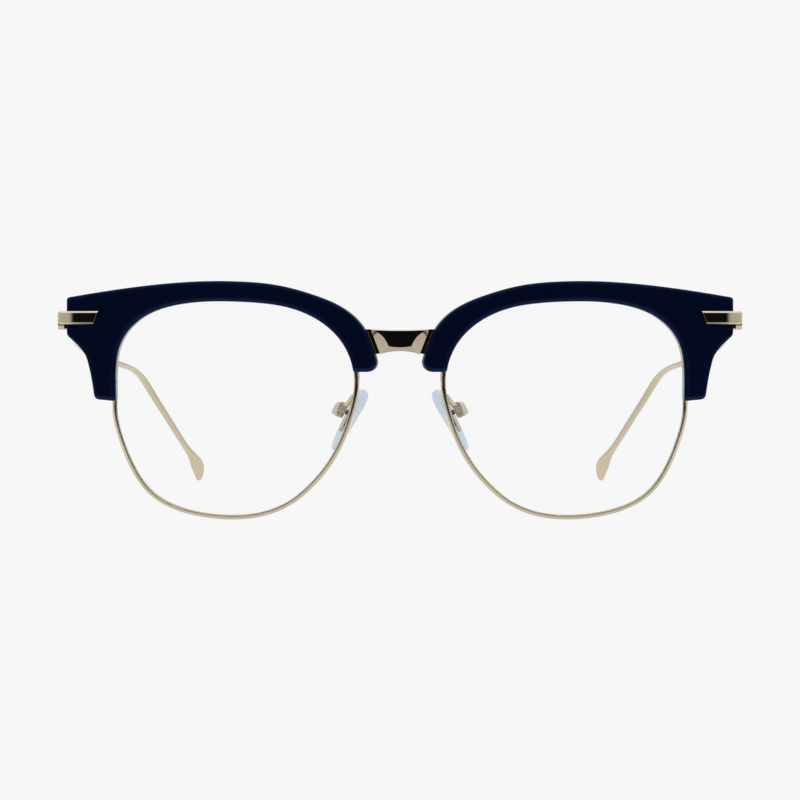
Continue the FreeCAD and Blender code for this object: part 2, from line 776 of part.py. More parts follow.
def bridge_pocket():
    """Room in the brow for the bridge end and its screw, open to the back."""
    plate = bridge_plate().fuse(bridge_tab(0))
    room = [plate]
    for step in (ACROSS, -ACROSS, UP, -UP, -BACK):
        moved = plate.copy()
        moved.translate(step * FIT)
        room.append(moved)
    tip, back = brow_screw_line()
    deep = bridge_tab(FIT)
    deep.translate(BACK * BRIDGE_THICK)
    plate_behind = bridge_plate()
    plate_behind.translate(BACK * BRIDGE_THICK)
    room += [deep, plate_behind]
    room.append(pin(BROW_SCREW_R + FIT, tip - BACK * FIT, back))
    return room[0].multiFuse(room[1:])


def pad_turn():
    """Splay and tilt of a nose pad: local X points away from the nose."""
    return Rotation(UP, -PAD_SPLAY) * Rotation(BACK, -PAD_TILT)


def pad_spot(across, back, up):
    """A spot in the pad frame, from the pad screw centre."""
    return Vector(PAD_X, PAD_Y, PAD_Z) + pad_turn().multVec(Vector(across, back, up))


def pad_seat(shape):
    """A pad piece turned and moved to its place."""
    shape = shape.copy()
    shape.Placement = Placement(Vector(PAD_X, PAD_Y, PAD_Z), pad_turn()).multiply(shape.Placement)
    return shape


def box_half():
    """Half the width of the pad box, ear to ear."""
    return LUG_WIDE / 2 + EAR_GAP + EAR


def arm_path():
    """From inside the rim, back and round to the front ear of the pad box."""
    ear_mid = pad_spot(0, -box_half() + EAR / 2, 0)
    corner = Vector(ARM_X, ear_mid.y, ARM_Z)
    toward = (ear_mid - corner).normalize()
    start = Vector(ARM_X, 0, ARM_Z)
    bend_in = corner - BACK * ARM_BEND
    bend_out = corner + toward * ARM_BEND
    centre = corner - BACK * ARM_BEND + toward * ARM_BEND
    middle = centre + (corner - centre).normalize() * ARM_BEND
    end = ear_mid - toward * (BOX_R - ARM_R)
    return Part.Wire([
        Part.makeLine(start, bend_in),
        Part.Arc(bend_in, middle, bend_out).toShape(),
        Part.makeLine(bend_out, end),
    ])


def pad_box():
    """The box that holds the pad, rounded on the side away from the pad."""
    half = box_half()
    block = box(Vector(-BOX_LIP, -half, -BOX_HIGH / 2), Vector(BOX_R, half, BOX_HIGH / 2))
    for radius, side in ((BOX_ROUND_TOP, 1), (BOX_ROUND_LOW, -1)):
        spot = Vector(BOX_R, 0, side * BOX_HIGH / 2)
        edge = min(block.Edges, key=lambda e: (e.CenterOfMass - spot).Length)
        block = block.makeFillet(radius, [edge])
    return block


def make_pad_arm():
    path = arm_path()
    start = Part.Wire([Part.makeCircle(ARM_R, Vector(ARM_X, 0, ARM_Z), BACK)])
    wire = path.makePipeShell([start], True, False)
    wire = wire.common(seat(ball(RIM_DEPTH + FIT / 10)))
    half = box_half()
    barrel = pad_seat(pad_box())
    slot = pad_seat(box(
        Vector(-BOX_R - OVERRUN, -LUG_WIDE / 2 - EAR_GAP, -BOX_HIGH / 2 - OVERRUN),
        Vector(BOX_FLOOR, LUG_WIDE / 2 + EAR_GAP, BOX_HIGH / 2 + OVERRUN),
    ))
    bore = pad_seat(pin(PAD_SCREW_R + FIT / 2, Vector(0, -BOX_R * 2, 0), Vector(0, BOX_R * 2, 0)))
    return barrel.fuse(wire).cut(slot).cut(bore)


def make_pad_screw():
    half = box_half()
    shank = pin(PAD_SCREW_R, Vector(0, -half, 0), Vector(0, half, 0))
    head = pin(PAD_HEAD_R, Vector(0, -half, 0), Vector(0, -half - PAD_HEAD, 0))
    screw = shank.fuse(head).removeSplitter()
    slot = box(
        Vector(-BOX_R, -half - PAD_HEAD - OVERRUN, -DRIVE_SLOT / 2),
        Vector(BOX_R, -half - PAD_HEAD / 2, DRIVE_SLOT / 2),
    )
    return pad_seat(screw.cut(slot))


def oval(long, wide, thick):
    """An upright oval plate from X = 0 towards the nose."""
    half_gap = (long - wide) / 2
    ends = [Vector(0, -wide / 2, -half_gap), Vector(0, wide / 2, half_gap)]
    top = Part.Arc(Vector(0, -wide / 2, half_gap), Vector(0, 0, long / 2), ends[1])
    low = Part.Arc(Vector(0, wide / 2, -half_gap), Vector(0, 0, -long / 2), ends[0])
    edges = [
        top.toShape(), Part.makeLine(ends[1], Vector(0, wide / 2, -half_gap)),
        low.toShape(), Part.makeLine(ends[0], Vector(0, -wide / 2, half_gap)),
    ]
    return Part.Face(Part.Wire(edges)).extrude(Vector(-thick, 0, 0))


def make_pad_mount():
    lug = pin(LUG_R, Vector(0, -LUG_WIDE / 2, 0), Vector(0, LUG_WIDE / 2, 0))
    neck = box(Vector(-PAD_OFF, -LUG_WIDE / 2, -NECK / 2), Vector(0, LUG_WIDE / 2, NECK / 2))
    plate = oval(MOUNT_LONG, MOUNT_WIDE, MOUNT_THICK)
    plate.translate(Vector(-PAD_OFF + MOUNT_THICK / 2, 0, 0))
    mount = lug.fuse(neck).fuse(plate).removeSplitter()
    bore = pin(PAD_SCREW_R + RUN, Vector(0, -LUG_WIDE, 0), Vector(0, LUG_WIDE, 0))
    return pad_seat(mount.cut(bore))


def make_nose_pad():
    body = oval(PAD_LONG, PAD_WIDE, PAD_THICK)
    face = Part.makeSphere(PAD_FACE_CURVE, Vector(PAD_FACE_CURVE - PAD_THICK, 0, 0))
    body = body.common(face)
    rounds = [e for e in body.Edges if e.BoundBox.YLength + e.BoundBox.ZLength > FIT]
    body = body.makeFillet(PAD_ROUND, rounds)
    body.translate(Vector(-PAD_OFF + MOUNT_THICK / 4, 0, -PAD_BELOW))
    return pad_seat(body)


def make_brow(strap_slot):
    brow = seat(make_brow_blank().cut(block_pocket())).cut(strap_slot)
    for line in end_screw_lines():
        brow = brow.cut(make_end_screw(line, FIT))
    return brow.cut(bridge_pocket())


def group(shapes):
    return Part.makeCompound(shapes)


def build_side():
    """Every piece on the left of the wearer, by name."""
    temple = make_temple()
    mount = make_pad_mount()
    return {
        "brow": make_brow(strap_body(FIT)),
        "rim": seat(make_rim()),
        "lens": seat(make_lens()),
        "closing_block": seat(make_closing_block()),
        "closing_screw": seat(make_closing_screw()),
        "endpiece": make_endpiece(),
        "front_hinge": make_front_hinge(),
        "hinge_screw": make_hinge_screw(),
        "temple": temple,
        "temple_hinge": make_temple_hinge(temple),
        "pad_arm": make_pad_arm(),
        "pad_screw": make_pad_screw(),
        "pad_mount": mount,
        "nose_pad": make_nose_pad().cut(mount),
        "end_screws": group([make_end_screw(line, 0) for line in end_screw_lines()]),
        "brow_screw": make_brow_screw(),
    }


def build_all():
    pieces = {"bridge": make_bridge()}
    for name, shape in build_side().items():
        pieces["left_" + name] = shape
        pieces["right_" + name] = mirrored(shape)
    return pieces


def main():
    os.makedirs("parts", exist_ok=True)
    pieces = build_all()
    extent = Part.makeCompound(list(pieces.values())).optimalBoundingBox(True, False)
    shift = Vector(0, -extent.Center.y, -extent.ZMin)
    for name, shape in sorted(pieces.items()):
        shape.translate(shift)
        shape.exportStep("parts/" + name + ".step")
        print(name, "solids", len(shape.Solids), "volume", round(shape.Volume, 1))
    print("hinge axis", hinge_axis() + shift)
    print("pad screw", pad_spot(0, 0, 0) + shift, "along", pad_turn().multVec(BACK))
    print("extent", extent)


main()
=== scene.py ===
# %% [markdown]
# # Browline glasses
# The part is a pair of glasses with dark blue acetate brows over thin gold rims.
# Most pieces keep their measured solids, so most of this lesson is about finishes. Only the
# nose pads and the temples are shaped again. Each cell takes one real piece or material,
# says what could be done, and picks one way.

import bisect
import json
import math

import bmesh
import bpy
from mathutils import Matrix, Vector


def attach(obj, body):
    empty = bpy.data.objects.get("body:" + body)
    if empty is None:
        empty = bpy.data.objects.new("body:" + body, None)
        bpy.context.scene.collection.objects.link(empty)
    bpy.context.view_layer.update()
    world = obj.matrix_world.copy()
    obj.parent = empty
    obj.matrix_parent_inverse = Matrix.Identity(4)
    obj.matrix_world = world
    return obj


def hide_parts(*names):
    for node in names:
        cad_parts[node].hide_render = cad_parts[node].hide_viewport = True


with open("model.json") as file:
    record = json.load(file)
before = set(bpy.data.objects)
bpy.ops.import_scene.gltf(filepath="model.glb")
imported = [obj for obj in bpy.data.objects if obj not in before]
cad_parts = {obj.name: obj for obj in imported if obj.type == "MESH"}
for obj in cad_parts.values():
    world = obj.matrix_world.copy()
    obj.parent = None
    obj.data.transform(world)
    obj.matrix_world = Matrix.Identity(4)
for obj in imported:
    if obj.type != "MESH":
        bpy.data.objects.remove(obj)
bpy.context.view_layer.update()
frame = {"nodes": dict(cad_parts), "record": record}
nodes = frame["nodes"]

# %% [markdown]
# Colours are read off the photograph as sRGB hex codes, but shaders work in linear light.
# One function converts them, so every code below can be compared with a picture.
# A second function adds any shader node with its settings and its links in one line.

# %% Helpers for colour and shader nodes
MM = 0.001
FRONT_Y = -68.01 * MM
SIDES = (("left", 1), ("right", -1))


def linear(code):
    """An sRGB hex code as linear red, green, blue and full alpha."""
    parts = [int(code[i : i + 2], 16) / 255 for i in (1, 3, 5)]
    light = [c / 12.92 if c <= 0.04045 else ((c + 0.055) / 1.055) ** 2.4 for c in parts]
    return (*light, 1.0)


def add(tree, kind, inputs=None, **settings):
    """A node of that kind; an input given a socket is linked, any other is set."""
    made = tree.nodes.new(kind)
    for name, value in settings.items():
        setattr(made, name, value)
    for name, value in (inputs or {}).items():
        if isinstance(value, bpy.types.NodeSocket):
            tree.links.new(value, made.inputs[name])
        else:
            made.inputs[name].default_value = value
    return made


def material(name):
    """An empty node material and its tree."""
    made = bpy.data.materials.new(name)
    made.use_nodes = True
    made.node_tree.nodes.clear()
    return made, made.node_tree


def close(tree, shader):
    """Sends a shader to the material output."""
    add(tree, "ShaderNodeOutputMaterial", {"Surface": shader.outputs[0]})


print("navy in linear light:", [round(c, 4) for c in linear("#07122d")])

# %% [markdown]
# A few steps come back in every finish: arithmetic, carrying a value from one range to
# another, noise of a given size in millimetres, mixing, and tilting a normal. Each one gets
# a short name that returns its output socket, so a finish reads like a sentence.

# %% Helpers for patterns
UNIT = (0.0, 1.0)
SOFT = "SMOOTHSTEP"
EDGE_SAMPLES = 8


def maths(tree, operation, *values):
    """One step of arithmetic on sockets or numbers."""
    return add(tree, "ShaderNodeMath", dict(enumerate(values)), operation=operation).outputs[0]


def ramp(tree, value, source=UNIT, target=UNIT, shape="LINEAR"):
    """A value carried from a source range to a target range and held at both ends."""
    ends = zip(("From Min", "From Max", "To Min", "To Max"), (*source, *target))
    span = {"Value": value, **dict(ends)}
    return add(tree, "ShaderNodeMapRange", span, interpolation_type=shape).outputs["Result"]


def noise(tree, place, size, detail):
    """Cloudy noise with blotches of about that size, and finer ones inside them."""
    settings = {"Vector": place, "Scale": 1 / size, "Detail": detail}
    return add(tree, "ShaderNodeTexNoise", settings).outputs["Fac"]


def blend(tree, kind, share, first, second):
    """A mix of two colours (RGBA) or two directions (VECTOR)."""
    ends = {"Factor": share, "A": first, "B": second}
    return add(tree, "ShaderNodeMix", ends, data_type=kind).outputs["Result"]


def spot_of(tree):
    """The place on the piece, in metres."""
    return add(tree, "ShaderNodeTexCoord").outputs["Object"]


def axes_of(tree, vector):
    """The X, Y and Z of a vector."""
    return add(tree, "ShaderNodeSeparateXYZ", {"Vector": vector}).outputs


def pushed(tree, normal, **push):
    """A normal pushed along an axis and brought back to length one."""
    by = add(tree, "ShaderNodeCombineXYZ", push).outputs[0]
    moved = add(tree, "ShaderNodeVectorMath", {0: normal, 1: by}, operation="ADD").outputs[0]
    return add(tree, "ShaderNodeVectorMath", {0: moved}, operation="NORMALIZE").outputs[0]


def eased(tree, radius):
    """The normal of a surface whose edges are rounded over by a radius."""
    made = add(tree, "ShaderNodeBevel", {"Radius": radius}, samples=EDGE_SAMPLES)
    return made.outputs["Normal"]


print("pattern helpers ready")

# %% [markdown]
# The brows are cellulose acetate, cut from sheet, tumbled and polished to a satin gloss.
# Tumbling rounds every edge, and a polished round edge is what tells acetate from painted
# metal. The edges could be cut into the mesh, but the solids are kept, so the material eases
# them: a bevelled normal turns the light, except at the slot that is cut for the end strap
# after tumbling and stays crisp. A round edge seen from the front would mirror the white
# room as a grey fringe, so on faces that look to the front the normals lean further there.

# %% Edges of the acetate
EDGE_ROUND = 1.1 * MM
SLOT_OUT = 60.2 * MM
SLOT_UP = 41.6 * MM
SLOT_HALF = 2.7 * MM
FADE = 0.6 * MM
FACING = (-0.35, 0.05)
LEAN = (-0.9, 0.0)


def strap_slot(tree, place):
    """1 where the end strap is let into the brow, 0 elsewhere."""
    at = axes_of(tree, place)
    out = maths(tree, "ABSOLUTE", at["X"])
    off = maths(tree, "ABSOLUTE", maths(tree, "SUBTRACT", at["Z"], SLOT_UP))
    beyond = ramp(tree, out, (SLOT_OUT - FADE, SLOT_OUT))
    within = ramp(tree, off, (SLOT_HALF + FADE, SLOT_HALF))
    return maths(tree, "MULTIPLY", beyond, within)


def leaned(tree, flat, normal):
    """The normal, leaned further to the front on every face that looks that way."""
    return pushed(tree, normal, Y=ramp(tree, axes_of(tree, flat)["Y"], FACING, LEAN))


print("acetate edges rounded by", EDGE_ROUND / MM, "mm")

# %% [markdown]
# A flat blue would look like painted metal. Sheet acetate has a faint cloudiness in its
# colour, a few millimetres across, and tumbling leaves a soft unevenness in the gloss. So the
# colour drifts between two close navies and the roughness drifts with a finer noise. The
# rounded edges have a lighter blue painted into their colour, a painted highlight for the
# light that those edges catch.

# %% Navy acetate
NAVIES = (linear("#050c22"), linear("#07122d"))
# painted highlight: the lighter blue painted into the colour of the rounded edges
PAINTED_EDGE_HIGHLIGHT_BLUE = linear("#36609f")
SHEEN_BLUE = linear("#7fa6ff")
PAINTED_HIGHLIGHT_COSINE = (0.995, 0.86)
CLOUD = {"size": 6 * MM, "detail": 3.0}
TUMBLE = {"size": 0.7 * MM, "detail": 2.0}
TUMBLE_DEEP = 0.004 * MM
TUMBLE_STRENGTH = 0.4
ACETATE_ROUGH = (0.16, 0.22)
ACETATE_IOR = 1.48

acetate, tree = material("navy_acetate")
place = spot_of(tree)
flat = add(tree, "ShaderNodeNewGeometry").outputs["Normal"]
edged = blend(tree, "VECTOR", strap_slot(tree, place), eased(tree, EDGE_ROUND), flat)
same = add(tree, "ShaderNodeVectorMath", {0: flat, 1: edged}, operation="DOT_PRODUCT")
# mask of the painted highlight, where the eased normal turns away from the flat one
painted_edge_highlight = ramp(tree, same.outputs["Value"], PAINTED_HIGHLIGHT_COSINE, shape=SOFT)
tone = blend(tree, "RGBA", noise(tree, place, **CLOUD), *NAVIES)
tumble = noise(tree, place, **TUMBLE)
satin = {
    "Height": tumble,
    "Distance": TUMBLE_DEEP,
    "Strength": TUMBLE_STRENGTH,
    "Normal": leaned(tree, flat, edged),
}
look = {
    "Base Color": blend(tree, "RGBA", painted_edge_highlight, tone, PAINTED_EDGE_HIGHLIGHT_BLUE),
    "Roughness": ramp(tree, tumble, target=ACETATE_ROUGH),
    "Normal": add(tree, "ShaderNodeBump", satin).outputs["Normal"],
    "IOR": ACETATE_IOR,
    "Specular Tint": SHEEN_BLUE,
}
close(tree, add(tree, "ShaderNodeBsdfPrincipled", look))
print("made", acetate.name)

# %% [markdown]
# Rims, bridge, end pieces and temples are a nickel alloy plated in pale champagne gold and
# polished. Polished plating mirrors its surroundings, so its look comes mostly from the
# studio cells below. What belongs to the metal is its tint, the very fine buffing haze, a
# noise on the roughness, and how far its edges are eased. Stamped pieces keep crisp edges,
# wires and rims are round. The outer ends of straps and rims roll outwards a little more
# than the solids do, so there the normals are pushed out as well.

# %% Champagne gold plating
BUFF = {"size": 1.2 * MM, "detail": 4.0}
GOLD_ROUGH = (0.05, 0.1)
CRISP = 0.05 * MM
WIRE_ROUND = 0.45 * MM
RIM_ROUND = 0.8 * MM
STRAP_ROLL = {"reach": (68.5 * MM, 72.3 * MM), "amount": (0.0, 0.38)}
RIM_ROLL = {"reach": (52.0 * MM, 58.0 * MM), "amount": (0.0, 0.3)}


def rolled(tree, place, normal, reach, amount):
    """The normal of a piece that is rolled outwards at its outer end."""
    across = axes_of(tree, place)["X"]
    roll = ramp(tree, maths(tree, "ABSOLUTE", across), reach, amount)
    return pushed(tree, normal, X=maths(tree, "MULTIPLY", maths(tree, "SIGN", across), roll))


def gold_plating(name, colour, radius, roll=None):
    """Polished plating over metal whose edges are eased by a radius."""
    made, tree = material(name)
    place = spot_of(tree)
    normal = eased(tree, radius)
    look = {
        "Base Color": linear(colour),
        "Metallic": 1.0,
        "Roughness": ramp(tree, noise(tree, place, **BUFF), target=GOLD_ROUGH),
        "Normal": rolled(tree, place, normal, **roll) if roll else normal,
    }
    close(tree, add(tree, "ShaderNodeBsdfPrincipled", look))
    return made


gold = gold_plating("champagne_gold_plating", "#cbbda7", CRISP)
gold_wire = gold_plating("champagne_gold_wire", "#d4c8ae", WIRE_ROUND)
gold_rim = gold_plating("champagne_gold_rim", "#e0d4b9", RIM_ROUND, RIM_ROLL)
gold_strap = gold_plating("champagne_gold_strap", "#d4c6b0", CRISP, STRAP_ROLL)
print("made", gold.name, gold_wire.name, gold_rim.name, gold_strap.name)

# %% [markdown]
# The tiny screws are bright steel, greyer than the plating. Their turned heads are finely
# scored, so they are rougher than anything that was polished.

# %% Bright steel
SCORE = {"size": 0.15 * MM, "detail": 2.0}
STEEL_ROUGH = (0.4, 0.5)

steel, tree = material("bright_steel")
look = {
    "Base Color": linear("#c9c9c6"),
    "Metallic": 1.0,
    "Roughness": ramp(tree, noise(tree, spot_of(tree), **SCORE), target=STEEL_ROUGH),
}
close(tree, add(tree, "ShaderNodeBsdfPrincipled", look))
print("made", steel.name)

# %% [markdown]
# The lenses are clear and coated against reflections: the photograph shows the background
# through them unchanged. Plain glass would mirror the studio. The coating leaves only a dim
# greenish image, so the tint of the mirrored light is dark, while the index of refraction
# stays that of the real lens.

# %% Coated clear lens
WIPE = {"size": 9 * MM, "detail": 2.0}
LENS_TINTS = (linear("#ffffff"), linear("#fdfffe"))
LENS_IOR = 1.5

clear, tree = material("coated_clear_lens")
look = {
    "Base Color": blend(tree, "RGBA", noise(tree, spot_of(tree), **WIPE), *LENS_TINTS),
    "Roughness": 0.0,
    "IOR": LENS_IOR,
    "Transmission Weight": 1.0,
    "Specular Tint": linear("#506255"),
}
close(tree, add(tree, "ShaderNodeBsdfPrincipled", look))
print("made", clear.name)

# %% [markdown]
# Nose pads are soft clear silicone, pale blue against white. They are not glass: the
# surface is slightly matt, most of the light goes straight through, and the rest comes back
# as a milky tint. Real scattering would be slow to render for so thin a piece, so a low
# alpha over a blue surface stands for it.

# %% Clear silicone
HAZE = {"size": 1.5 * MM, "detail": 2.0}
SILICONE_ROUGH = (0.22, 0.34)
SILICONE_IOR = 1.41
MILKY = 0.3

silicone, tree = material("clear_silicone")
look = {
    "Base Color": linear("#a0cdf9"),
    "Roughness": ramp(tree, noise(tree, spot_of(tree), **HAZE), target=SILICONE_ROUGH),
    "IOR": SILICONE_IOR,
    "Alpha": MILKY,
}
close(tree, add(tree, "ShaderNodeBsdfPrincipled", look))
print("made", silicone.name)

# %% [markdown]
# Each measured solid takes the finish of its record slot, so one table dresses them all.
# A second table names the few gold pieces that are round or rolled.

# %% Dress the measured pieces
FINISH = {
    "acetate": acetate,
    "gold_metal": gold,
    "lens": clear,
    "silicone": silicone,
    "steel": steel,
}
SHAPED = {
    "rim": gold_rim,
    "pad_arm": gold_wire,
    "temple": gold_wire,
    "endpiece": gold_strap,
}
subparts = frame["record"]["subparts"]
for entry in subparts:
    mesh = nodes[entry["node"]].data
    mesh.materials.clear()
    kind = entry["node"].partition("_")[2]
    mesh.materials.append(SHAPED.get(kind, FINISH[entry["material_slot"]]))
print("dressed", len(subparts), "pieces")

# %% [markdown]
# Two pieces are shaped again below, and both are swept: a row of outlines is joined into
# one closed skin. They are built for the left side and mirrored for the right one.

# %% Helpers for swept pieces


def skin(name, rings, paint):
    """A closed smooth mesh through rings of points; a ring of one point closes an end."""
    work = bmesh.new()
    loops = [[work.verts.new(spot) for spot in ring] for ring in rings]
    for ring, after in zip(loops, loops[1:]):
        count = max(len(ring), len(after))
        for k in range(count):
            m = (k + 1) % count
            if len(ring) == 1:
                work.faces.new((ring[0], after[k], after[m]))
            elif len(after) == 1:
                work.faces.new((ring[m], ring[k], after[0]))
            else:
                work.faces.new((ring[m], ring[k], after[k], after[m]))
    bmesh.ops.recalc_face_normals(work, faces=work.faces)
    mesh = bpy.data.meshes.new(name)
    work.to_mesh(mesh)
    work.free()
    mesh.shade_smooth()
    mesh.materials.append(paint)
    return mesh


def placed(name, mesh, rest, hand):
    """An object of a mesh built for the left side; a hand of -1 mirrors it."""
    mesh.transform(Matrix.Diagonal((hand, 1, 1, 1)) @ rest)
    if hand < 0:
        mesh.flip_normals()
    made = bpy.data.objects.new(name, mesh)
    bpy.context.scene.collection.objects.link(made)
    return made


print("sweep helpers ready")

# %% [markdown]
# The measured nose pads are plain ovals. A moulded pad is a drop: wide at the top, narrow at
# the foot, domed where it meets the nose, with a raised lip round its metal plate at the back
# and a fine seam where the two halves of the mould met. It could be carved with sculpting
# tools, but every section through it is the same outline at another size, so a list of
# (size, depth) steps sweeps that outline from the back over the edge to the dome.

# %% Shape of a nose pad
PAD_HALF = 7.2 * MM
TOP_R = 3.25 * MM
LOW_R = 2.55 * MM
PAD_THICK = 2.45 * MM
FOOT_SHARE = 0.45
SWEEP = [
    (0.00, 0.02), (0.30, 0.02), (0.46, 0.01), (0.52, -0.04), (0.57, -0.06), (0.63, -0.05),
    (0.68, 0.02), (0.76, 0.05), (0.84, 0.06), (0.90, 0.08), (0.945, 0.12), (0.975, 0.19),
    (0.992, 0.28), (0.998, 0.41), (1.006, 0.43), (0.998, 0.45), (0.994, 0.58), (0.98, 0.70),
    (0.95, 0.80), (0.90, 0.87), (0.82, 0.92), (0.70, 0.955), (0.52, 0.98), (0.34, 0.993),
    (0.16, 0.999), (0.00, 1.00),
]
ROUND_STEPS = 28
SIDE_STEPS = 8


def drop_outline():
    """Points (back, up) of two unequal end circles joined by straight tangents."""
    top_z, low_z = PAD_HALF - TOP_R, LOW_R - PAD_HALF
    lean = math.asin((TOP_R - LOW_R) / (top_z - low_z))
    top = (top_z, TOP_R, -lean, math.pi + 2 * lean)
    low = (low_z, LOW_R, math.pi + lean, math.pi - 2 * lean)
    spots = []
    for (centre, radius, start, sweep), (other_z, other_r, _, _) in ((top, low), (low, top)):
        for k in range(ROUND_STEPS + 1):
            turn = start + sweep * k / ROUND_STEPS
            spots.append((radius * math.cos(turn), centre + radius * math.sin(turn)))
        here = spots[-1]
        turn = start + sweep
        there = (other_r * math.cos(turn), other_z + other_r * math.sin(turn))
        for k in range(1, SIDE_STEPS):
            part = k / SIDE_STEPS
            spots.append(tuple(a + (b - a) * part for a, b in zip(here, there)))
    return spots


def thick_at(up):
    """The pad thins from its top to its foot."""
    return PAD_THICK * (1 - FOOT_SHARE * (PAD_HALF - up) / (2 * PAD_HALF))


def pad_mesh(name):
    """The drop swept through its sizes, the dome towards -X."""
    outline = drop_outline()
    rings = []
    for size, depth in SWEEP:
        spots = [(0.0, 0.0)] if size == 0 else [(y * size, z * size) for y, z in outline]
        rings.append([(-depth * thick_at(z), y, z) for y, z in spots])
    return skin(name, rings, silicone)


print("pad outline of", len(drop_outline()), "points")

# %% [markdown]
# The pads stand like the flanks of a nose. Opticians name the two angles: splay is seen from
# above, the frontal angle from the front. Each pad sits on the plate of its measured mount.

# %% Nose pads
PAD_SPOT = Vector((12.4 * MM, FRONT_Y + 9 * MM, 22.75 * MM))
PAD_SPLAY = math.radians(-14)
PAD_FRONTAL = math.radians(-26.5)
PAD_SEAT = (-1.62 * MM, 0.0, -1.2 * MM)
PAD_TURN = Matrix.Rotation(PAD_SPLAY, 4, "Z") @ Matrix.Rotation(PAD_FRONTAL, 4, "Y")
PAD_REST = Matrix.Translation(PAD_SPOT) @ PAD_TURN @ Matrix.Translation(PAD_SEAT)

for word, hand in SIDES:
    name = word + "_silicone_pad"
    pad = placed(name, pad_mesh(name), PAD_REST, hand)
    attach(pad, word + "_pad")
    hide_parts(word + "_nose_pad")
    print("made", pad.name, len(pad.data.polygons), "faces")

# %% [markdown]
# A wire temple is drawn, bent over a former at the ear, and pressed into a drop at its tip.
# The measured temple has stepped corners and a broad flat tip. Scaling it would leave the
# steps, so it is swept again: one spline gives the centre line, in shares of the reach back,
# and a second one gives the section at each share of the length: half thickness and half
# height in strip heights, and squareness. Each section is a superellipse, nearly square at
# the hinge and nearly round along the wire.

# %% Measures of a temple
TEMPLE_START = Vector((71.65 * MM, FRONT_Y + 17.6 * MM, 41.595 * MM))
TEMPLE_REACH = 119.6 * MM
STRIP_HIGH = 2.75 * MM
GUIDE = [
    (0.000, 0.000, 0.000), (0.001, 0.060, -0.002), (0.016, 0.220, -0.026),
    (0.023, 0.400, -0.050), (0.006, 0.580, -0.074), (-0.0227, 0.740, -0.0863),
    (-0.0358, 0.836, -0.1006), (-0.0482, 0.872, -0.1197), (-0.066, 0.889, -0.155),
    (-0.0994, 0.924, -0.213), (-0.1293, 0.955, -0.2685), (-0.1542, 0.976, -0.3016),
    (-0.155, 0.990, -0.325), (-0.154, 1.000, -0.3416),
]
SECTIONS = [
    (0.00, 0.236, 0.700, 6.0), (0.04, 0.236, 0.690, 6.0), (0.12, 0.240, 0.600, 5.0),
    (0.22, 0.265, 0.480, 3.6), (0.36, 0.290, 0.370, 2.6), (0.50, 0.285, 0.310, 2.3),
    (0.62, 0.280, 0.265, 2.2), (0.71, 0.290, 0.250, 2.2), (0.75, 0.315, 0.260, 2.2),
    (0.78, 0.325, 0.275, 2.2), (0.82, 0.305, 0.270, 2.2), (0.87, 0.290, 0.265, 2.2),
    (0.905, 0.280, 0.260, 2.2), (0.922, 0.295, 0.255, 2.2), (0.934, 0.360, 0.250, 2.2),
    (0.945, 0.450, 0.245, 2.2), (0.954, 0.545, 0.240, 2.2), (0.962, 0.615, 0.235, 2.2),
    (0.969, 0.615, 0.230, 2.2), (0.976, 0.560, 0.220, 2.2), (0.983, 0.470, 0.200, 2.2),
    (0.990, 0.390, 0.180, 2.2), (0.996, 0.300, 0.150, 2.2), (1.00, 0.165, 0.090, 2.0),
]
LINE_STEPS = 600
RING_STEPS = 180
RING_SPOTS = 32
SHARP = math.radians(50)
TINY = 1e-9
OUTWARD = Vector((1, 0, 0))
print("temple of", len(GUIDE), "guide poles and", len(SECTIONS), "sections")

# %% [markdown]
# A cubic B-spline never overshoots its poles, so the wire gets no waves between them. Its
# points aren't evenly spaced, so the sections find their place by the length walked so far.

# %% Shape of a temple


def spline(poles, t):
    """A point of the clamped cubic B-spline of some poles, t running from 0 to 1."""
    last = len(poles) - 3
    knots = [0] * 3 + list(range(last + 1)) + [last] * 3
    at = min(t * last, last - TINY)
    first = int(at)
    work = [list(pole) for pole in poles[first : first + 4]]
    for level in range(1, 4):
        for j in range(3, level - 1, -1):
            low, high = knots[first + j], knots[first + j + 4 - level]
            part = (at - low) / (high - low)
            work[j] = [a + (b - a) * part for a, b in zip(work[j - 1], work[j])]
    return work[3]


def superellipse(turn, square):
    """A point of a superellipse of size one; 2 is a circle, more is squarer."""
    spots = (math.cos(turn), math.sin(turn))
    return [math.copysign(abs(s) ** (2 / square), s) for s in spots]


def temple_mesh(name):
    """The left temple, swept along its centre line."""
    steps = [k / LINE_STEPS for k in range(LINE_STEPS + 1)]
    line = [TEMPLE_START + TEMPLE_REACH * Vector(spline(GUIDE, t)) for t in steps]
    run = [0.0]
    for a, b in zip(line, line[1:]):
        run.append(run[-1] + (b - a).length)
    rings = [[line[0]]]
    for k in range(RING_STEPS + 1):
        share, thick, high, square = spline(SECTIONS, k / RING_STEPS)
        at = min(bisect.bisect_right(run, share * run[-1]), LINE_STEPS)
        part = (share * run[-1] - run[at - 1]) / (run[at] - run[at - 1])
        centre = line[at - 1].lerp(line[at], part)
        along = (line[min(at + 1, LINE_STEPS)] - line[max(at - 2, 0)]).normalized()
        side = (OUTWARD - along * along.x).normalized()
        rise = side.cross(along)
        ring = []
        for m in range(RING_SPOTS):
            out, up = superellipse(2 * math.pi * (m + 0.5) / RING_SPOTS, square)
            across = side * (out * thick * STRIP_HIGH)
            ring.append(centre + across + rise * (up * high * STRIP_HIGH))
        rings.append(ring)
    rings.append([line[-1]])
    mesh = skin(name, rings, gold_wire)
    mesh.set_sharp_from_angle(angle=SHARP)
    return mesh


print("middle of the guide:", [round(c, 3) for c in spline(GUIDE, 0.5)])

# %% Temples
for word, hand in SIDES:
    name = word + "_drawn_temple"
    temple = placed(name, temple_mesh(name), Matrix.Identity(4), hand)
    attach(temple, word + "_temple_arm")
    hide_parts(word + "_temple")
    print("made", temple.name, len(temple.data.polygons), "faces")

